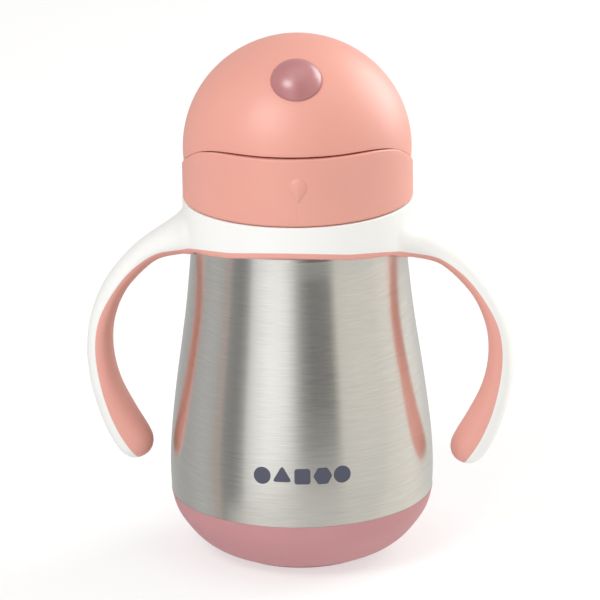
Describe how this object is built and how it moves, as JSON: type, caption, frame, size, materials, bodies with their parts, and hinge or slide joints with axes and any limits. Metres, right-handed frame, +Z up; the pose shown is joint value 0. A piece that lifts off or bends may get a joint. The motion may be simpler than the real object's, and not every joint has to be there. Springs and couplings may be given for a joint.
{
  "type": "baby bottle",
  "caption": "Double-wall steel training cup with a screw lid, a pivoting dome cover over a fold-away straw, and a turning ring with two soft-lined handles.",
  "frame": {"origin": "centre of the foot, on the surface the cup stands on", "axes": "+Z up along the cup's axis; -Y is the lid's front, with the button and drop mark; +X to the viewer's right"},
  "size_m": [0.1284, 0.0794, 0.1592],
  "materials": {
    "steel": "brushed",
    "boot": "matt",
    "white_plastic": "satin",
    "grip": "matt",
    "lid_plastic": "satin",
    "button_plastic": "satin",
    "inner_plastic": "satin",
    "silicone": "translucent satin",
    "getter_metal": "dull",
    "seal_glass": "opaque frit"
  },
  "bodies": {
    "flask": {"flask_outer_wall": "steel", "flask_outer_bottom": "steel", "flask_inner_wall": "steel", "flask_inner_bottom": "steel", "vacuum_getter": "getter_metal", "vacuum_seal_bead": "seal_glass", "base_boot": "boot"},
    "handle": {"handle_frame": "white_plastic", "handle_grip": "grip"},
    "mouth_seal": {"mouth_gasket": "silicone"},
    "lid": {"lid_collar": "lid_plastic", "lid_insert": "inner_plastic", "inner_dome": "inner_plastic", "vent_valve": "silicone", "mouthpiece_stem": "silicone", "straw_connector": "inner_plastic"},
    "cover": {"dome_cover": "lid_plastic", "dome_button": "button_plastic"},
    "straw_tip": {"mouthpiece_tip": "silicone"},
    "drinking_tube": {"straw_tube": "silicone", "weight_ring": "steel", "weight_shell_upper": "inner_plastic", "weight_shell_lower": "inner_plastic"}
  },
  "joints": [
    {"name": "lid_rise", "type": "slide", "parent": "flask", "child": "mouth_seal", "axis": [0, 0, 1], "range_m": [0, 0.00734]},
    {"name": "lid_turn", "type": "hinge", "parent": "mouth_seal", "child": "lid", "pos_m": [0, 0, 0.1116], "axis": [0, 0, 1], "range_deg": [0, 330]},
    {"name": "handle_turn", "type": "hinge", "parent": "flask", "child": "handle", "pos_m": [0, 0, 0.1026], "axis": [0, 0, 1], "continuous": true},
    {"name": "cover_pivot", "type": "hinge", "parent": "lid", "child": "cover", "pos_m": [0, 0, 0.1255], "axis": [-1, 0, 0], "range_deg": [0, 88]},
    {"name": "straw_flip", "type": "hinge", "parent": "lid", "child": "straw_tip", "pos_m": [0, 0.003, 0.1405], "axis": [-1, 0, 0], "range_deg": [0, 95.1]},
    {"name": "straw_swing", "type": "hinge", "parent": "lid", "child": "drinking_tube", "pos_m": [0, 0.003, 0.105], "axis": [1, 0, 0], "range_deg": [-10, 10]}
  ],
  "couplings": [
    {"joint": "lid_rise", "follows": "lid_turn", "m_per_rad": 0.0012732},
    {"joint": "straw_flip", "follows": "cover_pivot", "ratio": 1.08}
  ]
}
